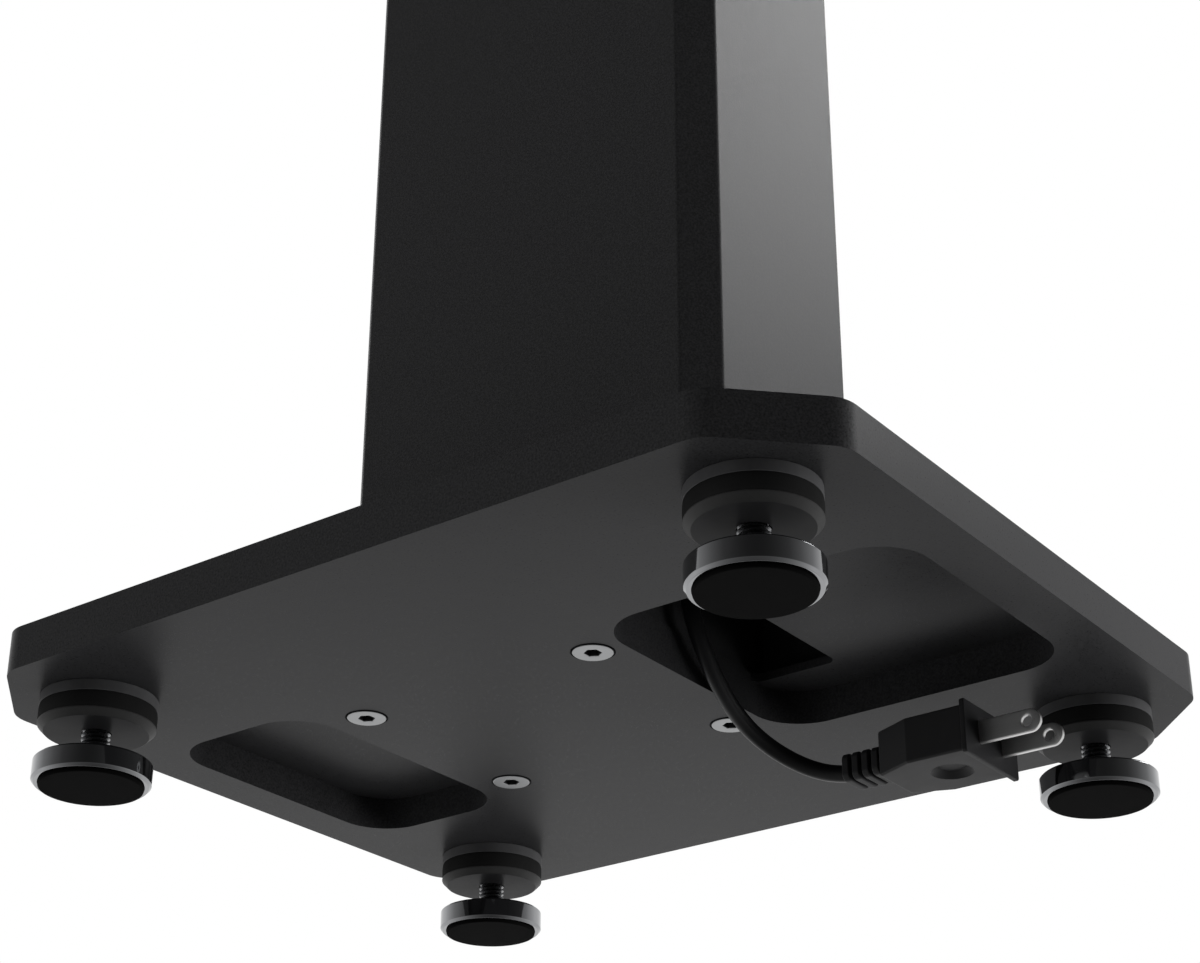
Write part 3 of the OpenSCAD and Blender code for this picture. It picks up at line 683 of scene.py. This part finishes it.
class STAND_OT_stage(bpy.types.Operator):
    """Camera at the photograph's angle, soft light and a pale floor"""

    bl_idname = "stand.stage"
    bl_label = "Camera, light and floor"

    def execute(self, context):
        scene = context.scene
        scene.view_settings.view_transform = "Standard"
        self.camera(scene)
        self.world(scene)
        self.surround(scene)

        # One large soft lamp beyond the rear left, high enough to shine along the rear face
        place = Vector(SOFT_BOX_WAY) * SOFT_BOX_DISTANCE
        soft_lamp(scene, "soft_box", scene.stand_sizes.lamp_size, SOFT_BOX_POWER, place, SOFT_BOX_AIM)

        # Low fill from the rear that lifts the faces under the plate
        fill_lamp = soft_lamp(scene, "fill", FILL_SIZE, FILL_POWER, FILL_PLACE, FILL_AIM)
        hide_from(fill_lamp, "glossy")
        self.floor(scene)
        return {"FINISHED"}

    def camera(self, scene):
        """The photograph's camera, with a smaller shift so that other views stay in the frame."""
        lens = bpy.data.cameras.new("camera")
        lens.sensor_width = 36
        lens.lens = CAMERA_LENS
        lens.shift_y = CAMERA_SHIFT
        lens.clip_start = 0.01
        made = bpy.data.objects.new("camera", lens)
        made.location = CAMERA_PLACE
        made.rotation_euler = [math.radians(a) for a in CAMERA_ANGLES]
        scene.collection.objects.link(made)
        scene.camera = made

    def world(self, scene):
        """White behind the object and in its metal, a plain level of light for everything else."""
        world = bpy.data.worlds.new("studio")
        scene.world = world
        world.use_nodes = True
        tree = world.node_tree
        tree.nodes.clear()
        ray = add(tree, "LightPath").outputs
        seen = add(tree, "Math", {0: ray["Is Camera Ray"], 1: ray["Is Glossy Ray"]}, operation="MAXIMUM")
        seen = add(tree, "Math", {0: seen.outputs[0], 1: ray["Is Transmission Ray"]}, operation="MAXIMUM")
        way = add(tree, "TexCoord").outputs["Generated"]
        way = add(tree, "VectorMath", {0: way, 1: DIM_SIDE}, operation="DOT_PRODUCT").outputs["Value"]
        level = add(tree, "MapRange", {"Value": way, "From Max": 0.85,
                                       "To Min": WORLD_LEVEL, "To Max": 0.0})
        white = add(tree, "Background", {"Color": (1, 1, 1, 1), "Strength": 1.0})
        light = add(tree, "Background", {"Color": (1, 1, 1, 1), "Strength": level.outputs["Result"]})
        both = add(tree, "MixShader", {0: seen.outputs[0], 1: light.outputs[0], 2: white.outputs[0]})
        add(tree, "OutputWorld", {"Surface": both.outputs[0]})

    def surround(self, scene):
        """Cloth that only gloss sees: dark behind the camera and fading to white beyond the object."""
        bm = bmesh.new()
        bmesh.ops.create_icosphere(bm, subdivisions=5, radius=CLOTH_RADIUS)
        mesh = bpy.data.meshes.new("surround")
        bm.to_mesh(mesh)
        bm.free()
        cloth, tree, place = start_finish("grey_studio_cloth")
        way = add(tree, "VectorMath", {0: place}, operation="NORMALIZE").outputs[0]
        way = add(tree, "VectorMath", {0: way, 1: DARK_SIDE}, operation="DOT_PRODUCT").outputs["Value"]
        share = add(tree, "MapRange", {"Value": way, "From Min": -1.0, "From Max": 1.0})
        ramp = add(tree, "ValToRGB", {"Fac": share.outputs["Result"]})
        stops = ramp.color_ramp.elements
        for position, grey in CLOTH_GREYS[1:-1]:
            stops.new(position)
        for stop, (position, grey) in zip(stops, CLOTH_GREYS):
            stop.position = position
            stop.color = (grey, grey, grey, 1.0)
        height = add(tree, "SeparateXYZ", {0: place}).outputs["Z"]
        lower = add(tree, "MapRange", {"Value": height, "From Min": -CLOTH_RADIUS,
                                       "From Max": -CLOTH_RADIUS / 2, "To Min": 0.05})
        glow = add(tree, "Emission", {"Color": ramp.outputs["Color"], "Strength": lower.outputs["Result"]})
        add(tree, "OutputMaterial", {"Surface": glow.outputs[0]})
        cloth.cycles.emission_sampling = "NONE"
        mesh.materials.append(cloth)
        surround = bpy.data.objects.new("surround", mesh)
        scene.collection.objects.link(surround)
        hide_from(surround, "camera", "diffuse", "transmission", "shadow", "volume_scatter")

    def floor(self, scene):
        """Pale floor under the feet. From below it lets the eye and the light through."""
        mesh = bpy.data.meshes.new("floor")
        corners = [(x, y, 0) for x, y in box_corners(FLOOR_SIDE, FLOOR_SIDE)]
        mesh.from_pydata(corners, [], [(0, 1, 2, 3)])
        paint, tree, place = start_finish("painted_screed")
        fleck = add(tree, "TexNoise", {"Vector": place, "Scale": 1 / (30 * MM), "Detail": 3.0})
        shades = two_shades(fleck.outputs["Fac"], scene.stand_colours.floor, 0.985, 1.01)
        tone = add(tree, "Mix", shades, data_type="RGBA").outputs[2]
        matt = add(tree, "BsdfPrincipled", {"Base Color": tone, "Roughness": 0.9,
                                            "Specular IOR Level": 0.1})
        clear = add(tree, "BsdfTransparent")
        away = add(tree, "VectorMath", {0: place}, operation="LENGTH").outputs["Value"]
        fade = add(tree, "MapRange", {"Value": away, "From Min": 0.5, "From Max": 1.8},
                   interpolation_type="SMOOTHSTEP").outputs["Result"]
        below = add(tree, "NewGeometry").outputs["Backfacing"]
        hide = add(tree, "Math", {0: below, 1: fade}, operation="MAXIMUM")
        both = add(tree, "MixShader", {0: hide.outputs[0], 1: matt.outputs[0], 2: clear.outputs[0]})
        add(tree, "OutputMaterial", {"Surface": both.outputs[0]})
        mesh.materials.append(paint)
        floor = bpy.data.objects.new("floor", mesh)
        scene.collection.objects.link(floor)
        hide_from(floor, "diffuse", "glossy", "transmission", "shadow")


# Pieces


class STAND_OT_lead(bpy.types.Operator):
    """Mains lead from the lowest clip in the duct down to the plug"""

    bl_idname = "stand.lead"
    bl_label = "Mains lead"

    def execute(self, context):
        line = bpy.data.curves.new("mains_lead", "CURVE")
        line.dimensions = "3D"
        line.bevel_depth = context.scene.stand_sizes.lead_diameter / 2
        line.bevel_resolution = 10
        line.resolution_u = 8
        line.use_fill_caps = True
        path = line.splines.new("BEZIER")
        last = len(LEAD_ROUTE) - 1
        path.bezier_points.add(last)
        for i, (knot, place) in enumerate(zip(path.bezier_points, LEAD_ROUTE)):
            here = Vector(place)
            before, after = Vector(LEAD_ROUTE[max(i - 1, 0)]), Vector(LEAD_ROUTE[min(i + 1, last)])
            way = (after - before).normalized()
            if i == 0:
                way = Vector((0, 0, -1))
            if i == last:
                way = Vector((0, 1, 0))
            knot.co = here
            knot.handle_left_type = knot.handle_right_type = "FREE"
            knot.handle_left = here - way * (here - before).length / 3
            knot.handle_right = here + way * (after - here).length / 3
        line.materials.append(finish_of("lead_jacket"))
        lead = bpy.data.objects.new("mains_lead", line)
        context.scene.collection.objects.link(lead)
        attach(lead, "stand")
        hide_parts("lead_tail")
        return {"FINISHED"}


class STAND_OT_plug(bpy.types.Operator):
    """Moulded plug with its flange, finger dimples, ribbed tail and two drilled blades"""

    bl_idname = "stand.plug"
    bl_label = "Plug"

    def execute(self, context):
        bm = bmesh.new()
        self.grip(bm, context.scene.stand_sizes.plug_edge)
        self.flange_and_tail(bm)
        body = piece("plug_moulding", bm, "plug_plastic", "stand", ["plug_body"], sharp=40)
        blades = [self.blade("plug_blade_left", 1), self.blade("plug_blade_right", -1)]
        return {"FINISHED"}

    def grip(self, bm, edge):
        """Adds the six-sided grip with a round dimple for a finger on each side."""
        plan = [(-8.5, 0), (8.5, 0), (13.2, 11.2), (13.2, 28.7), (-13.2, 28.7), (-13.2, 11.2)]
        plan = [(PLUG_X + a * MM, PLUG_START + b * MM) for a, b in plan]
        corner, half_thickness = 1.2 * MM, 6.45 * MM
        sides = edge_line(PLUG_Z - half_thickness, PLUG_Z + half_thickness, edge)
        rings = [ring(bm, outline(plan, corner, inset), h) for inset, h in sides]
        skin(bm, rings)
        scoop = (PLUG_X, PLUG_START + 17.7 * MM)
        rim, deep = 6 * MM, 1.9 * MM
        bowl = [(rim, 0), (rim - 0.06 * MM, 0.01), (rim - 0.12 * MM, 0.06), (0.69 * rim, 0.93),
                (0.67 * rim, 1.0), (0.65 * rim, 1.0), (0.63 * rim, 0.93), (0.6 * rim, 0.9),
                (0.4 * rim, 0.88), (0.2 * rim, 0.88)]
        for face, inward in ((rings[0], 1), (rings[-1], -1)):
            level = face[0].co.z
            dish = [ring(bm, circle(r, centre=scoop), level + inward * deep * share) for r, share in bowl]
            fill(bm, face, [dish[0]])
            skin(bm, dish)
            fill(bm, dish[-1])

    def flange_and_tail(self, bm):
        """Adds the flange in front of the grip, and the ribs and their core behind it."""
        upright = Matrix.Translation((PLUG_X, 0, PLUG_Z)) @ Matrix.Rotation(math.radians(-90), 4, "X")
        flange, flange_corner = box_corners(29.4 * MM, 15.1 * MM), 0.9 * MM
        slab(bm, lambda inset: outline(flange, flange_corner, inset), PLUG_START + 28.5 * MM,
             PLUG_START + 30 * MM, edge=0.35 * MM, place=upright)
        tail = PLUG_START - 13.3 * MM
        rib, rib_corner = box_corners(11.5 * MM, 8 * MM), 2 * MM
        ribs, pitch, thickness = 4, 3.1 * MM, 2.1 * MM
        for k in range(ribs):
            low = tail + k * pitch
            slab(bm, lambda inset: outline(rib, rib_corner, inset), low, low + thickness,
                 edge=0.4 * MM, place=upright)
        core = fillet([(0, tail + 0.2 * MM), (2.5 * MM, tail + 0.2 * MM), (3.1 * MM, tail + 0.8 * MM),
                       (3.1 * MM, PLUG_START + MM), (0, PLUG_START + MM)], radius=0.2 * MM)
        start = len(bm.verts)
        turned(bm, core, steps=48)
        place_new(bm, start, upright)

    def blade(self, node, side):
        """A blade of 6.4 mm width and 1.5 mm thickness with a round tip and a hole."""
        root, tip = PLUG_START + 21 * MM, PLUG_START + 48 * MM
        half_width, half_thickness, end_radius = 3.2 * MM, 0.75 * MM, 3.15 * MM
        hole_radius, hole_place = 1.6 * MM, (0, tip - 4 * MM)
        plan = [(-half_width, root), (half_width, root), (half_width, tip), (-half_width, tip)]
        middle = Matrix.Translation((PLUG_X + side * 6.35 * MM, 0, PLUG_Z))
        bm = bmesh.new()
        slab(bm, lambda inset: outline(plan, end_radius, inset, 16), -half_thickness, half_thickness,
             edge=0.3 * MM, place=middle @ Matrix.Rotation(math.radians(90), 4, "Y"),
             holes=[lambda inset: circle(hole_radius, inset, hole_place, 40)])
        return piece(node + "_stamped", bm, "blade_metal", "stand", [node], sharp=60)


class STAND_OT_plates(bpy.types.Operator):
    """Steel base plate and top plate, with broken edges and powder coat"""

    bl_idname = "stand.plates"
    bl_label = "Base plate and top plate"

    def execute(self, context):
        edge = context.scene.stand_sizes.plate_edge
        for node in ("base_plate", "top_plate"):
            dress(node, "powder_coat", edge, steps=3)
        return {"FINISHED"}


class STAND_OT_column(bpy.types.Operator):
    """Extruded column with its cable duct, window and grommet"""

    bl_idname = "stand.column"
    bl_label = "Column"

    def execute(self, context):
        dress("column", "coated_column", context.scene.stand_sizes.column_edge)
        dress("outlet_grommet", "rubber", 0.4 * MM, steps=3)
        return {"FINISHED"}


class STAND_OT_screws(bpy.types.Operator):
    """Countersunk screws with hexagon sockets, four below and four above"""

    bl_idname = "stand.screws"
    bl_label = "Screws"

    def execute(self, context):
        ports = [(side * PORT_X * MM, y * MM) for side in (-1, 1) for y in PORT_Y]
        sets = (("base_screws", "steel_screws", LOWER_HEADS * MM, 1, 25),
                ("top_screws", "black_screws", TOP_FACE * MM, -1, 20))
        for node, slot, face, up, length in sets:
            bm = bmesh.new()
            for port in ports:
                self.screw(bm, port, face, up, length)
            # On the bright base screws the black faces are painted shade round the head and in the socket
            piece(node + "_headed", bm, slot, "stand", [node], sharp=35, finishes=(slot, "black_screws"))
        return {"FINISHED"}

    def screw(self, bm, port, face, up, length):
        """Adds one screw. Its head's face is at a height and its shank runs up or down from there, for a
        length in millimetres. The lists below give radius, or width over flats, and depth."""
        turns = [2 * math.pi * k / SCREW_STEPS for k in range(SCREW_STEPS)]

        def level(radii, deep):
            """A ring of vertices at a depth in millimetres under the head's face."""
            x, y = port
            points = [(x + r * math.cos(a), y + r * math.sin(a)) for r, a in zip(radii, turns)]
            return ring(bm, points, face + up * deep * MM)

        def rounded(radius, deep):
            return level([radius * MM] * SCREW_STEPS, deep)

        def hexagon(across, deep):
            half = across * MM / 2
            return level([half / math.cos(a % (math.pi / 3) - math.pi / 6) for a in turns], deep)

        outside = [(2.62, 0.0), (5.34, 0.0), (5.44, 0.03), (5.5, 0.1), (5.5, 1.1), (3.0, 3.4),
                   (3.0, length - 0.8), (2.2, length)]
        start = len(bm.faces)
        rings = [rounded(radius, deep) for radius, deep in outside]
        skin(bm, rings)
        fill(bm, rings[-1])
        socket = len(bm.faces)
        inside = [rings[0], hexagon(4.3, 0.1), hexagon(4.1, 0.3), hexagon(4.1, 2.6), rounded(1.4, 2.75),
                  rounded(0.2, 3.1)]
        skin(bm, inside)
        fill(bm, inside[-1])

        # The head's face and rounded rim, and the socket's mouth, stay bright. The rest, in the gap under
        # the rim, down the shank and deep in the socket, takes the black finish: painted shade
        bm.faces.ensure_lookup_table()
        head_bands, mouth_bands = 3, 1
        head, mouth = start + head_bands * SCREW_STEPS, socket + mouth_bands * SCREW_STEPS
        for each in bm.faces[head:socket] + bm.faces[mouth:]:
            each.material_index = 1


class STAND_OT_isolators(bpy.types.Operator):
    """Isolators over the feet: steel cap, bonded rubber ring and steel disc"""

    bl_idname = "stand.isolators"
    bl_label = "Isolators"

    def execute(self, context):
        cap = fillet(metres(CAP), context.scene.stand_sizes.turned_edge)
        for corner in CORNERS:
            at = under(corner + "_isolator_disc")
            # The cap takes a lighter copy of the discs' enamel: painted light
            turned_piece(corner + "_cap_turned", cap, "black_steel", "stand", corner + "_isolator_cap", at,
                         sharp=40, finishes=("lightened_cap_steel",))
            turned_piece(corner + "_rubber_bonded", metres(RUBBER), "rubber", "stand",
                         corner + "_isolator_rubber", at, closed=True)
            bm = bmesh.new()
            turned(bm, metres(DISC), closed=True)
            # The disc's underside, over the foot, takes a darker copy of the enamel: painted shade
            for face in bm.faces:
                in_painted_shade = face.calc_center_median().z < (DISC_FACE + 0.01) * MM
                face.material_index = int(in_painted_shade)
            piece(corner + "_disc_turned", bm, "black_steel", "stand", [corner + "_isolator_disc"], at,
                  sharp=30, finishes=("black_steel", "shaded_face_steel"))
        return {"FINISHED"}


class STAND_OT_feet(bpy.types.Operator):
    """Polished feet that turn on threaded studs, with rubber pads underneath"""

    bl_idname = "stand.feet"
    bl_label = "Feet, studs and pads"

    def execute(self, context):
        sizes = context.scene.stand_sizes
        foot = fillet(metres(FOOT), sizes.turned_edge)
        for corner in CORNERS:
            node = corner + "_foot"
            at = under(node)
            turned_piece(node + "_polished", foot, "black_chrome", node, node, at, sharp=25, steps=144)
            # The pads take a darker copy of the rubber: painted shade
            turned_piece(corner + "_pad_moulded", metres(PAD), "rubber", corner + "_pad",
                         corner + "_foot_pad", at, finishes=("shaded_pad_rubber",))
            self.stud(corner, at, sizes.thread_pitch)
        return {"FINISHED"}

    def stud(self, corner, at, pitch):
        """A stud with a right-hand thread: rows of vertices climb by one pitch in each turn. It is plain
        from low to start, and threaded from there to its end."""
        low, start, end = STUD_SEAT * MM, 7.2 * MM, 25.7 * MM
        crest, root = 3.98 * MM, 3.3 * MM
        profile = ((0.0, root), (0.25, root), (0.56, crest), (0.69, crest))
        tip_slope = 0.9  # the last thread runs out in a cone
        steps = 48
        near = 2e-6  # neighbouring rows meet within this distance
        bm = bmesh.new()
        rows = []
        for turn in range(int((end - start) / pitch) + 3):
            for share, r in profile:
                row = []
                for k in range(steps + 1):
                    z = start + (turn - 1 + share + k / steps) * pitch
                    radius = r
                    if z < start or z > end:
                        radius, z = root, min(max(z, start), end)
                    radius = min(radius, root + max(0.0, end - z) * tip_slope)
                    a = 2 * math.pi * k / steps
                    row.append(bm.verts.new((radius * math.cos(a), radius * math.sin(a), z)))
                rows.append(row)
        skin(bm, rows, closed=False)
        bmesh.ops.remove_doubles(bm, verts=bm.verts, dist=near)
        bmesh.ops.dissolve_degenerate(bm, dist=near / 2, edges=bm.edges)
        rims = [e for e in bm.edges if e.is_boundary]
        for height in (start, end):
            loop = [e for e in rims if all(abs(v.co.z - height) < near for v in e.verts)]
            if loop:
                bmesh.ops.contextual_create(bm, geom=loop)
        inside = start + 0.01 * MM
        plain = [(0, low), (crest, low), (crest, start), (root - 0.05 * MM, inside), (0, inside)]
        turned(bm, plain, steps=steps)
        piece(corner + "_stud_threaded", bm, "zinc_steel", corner + "_foot", [corner + "_stud"], at,
              sharp=28)


class STAND_OT_rests(bpy.types.Operator):
    """Rubber pads under the speaker and the bung over the filling hole"""

    bl_idname = "stand.rests"
    bl_label = "Speaker pads and bung"

    def execute(self, context):
        for corner in CORNERS:
            node = corner + "_speaker_pad"
            turned_piece(corner + "_rest_moulded", metres(REST), "rubber", "stand", node, under(node))
        turned_piece("filler_bung_moulded", metres(BUNG), "rubber", "stand", "filler_bung",
                     under("filler_bung"))
        return {"FINISHED"}


class STAND_OT_fittings(bpy.types.Operator):
    """Lead, clips and connector inside the duct"""

    bl_idname = "stand.fittings"
    bl_label = "Fittings in the duct"

    def execute(self, context):
        dress("cable_clips", "clip_plastic", 0.25 * MM)
        dress("connector_clip", "clip_plastic", 0.25 * MM)
        dress("lead_in_column", "lead_jacket", 0.2 * MM)
        dress("connector_body", "plug_plastic", 0.5 * MM, steps=3)
        dress("connector_contacts", "contact_brass", 0.12 * MM)
        return {"FINISHED"}


class STAND_PT_sidebar(bpy.types.Panel):
    """Speaker stand"""

    bl_idname = "STAND_PT_sidebar"
    bl_label = "Speaker stand"
    bl_space_type = "VIEW_3D"
    bl_region_type = "UI"
    bl_category = "Speaker stand"

    def draw(self, context):
        for group in (context.scene.stand_sizes, context.scene.stand_colours):
            box = self.layout.box()
            for name in group.bl_rna.properties.keys():
                if name not in ("rna_type", "name"):
                    box.prop(group, name)
        for step in STEPS:
            self.layout.operator("stand." + step)


STEPS = ("stage", "lead", "plug", "plates", "column", "screws", "isolators", "feet", "rests", "fittings")
CLASSES = (
    StandSizes,
    StandColours,
    STAND_OT_stage,
    STAND_OT_lead,
    STAND_OT_plug,
    STAND_OT_plates,
    STAND_OT_column,
    STAND_OT_screws,
    STAND_OT_isolators,
    STAND_OT_feet,
    STAND_OT_rests,
    STAND_OT_fittings,
    STAND_PT_sidebar,
)


def register():
    for cls in CLASSES:
        bpy.utils.register_class(cls)
    bpy.types.Scene.stand_sizes = bpy.props.PointerProperty(type=StandSizes)
    bpy.types.Scene.stand_colours = bpy.props.PointerProperty(type=StandColours)


def unregister():
    del bpy.types.Scene.stand_colours
    del bpy.types.Scene.stand_sizes
    for cls in reversed(CLASSES):
        bpy.utils.unregister_class(cls)


def main():
    register()
    for step in STEPS:
        getattr(bpy.ops.stand, step)()


if __name__ == "__main__":
    main()
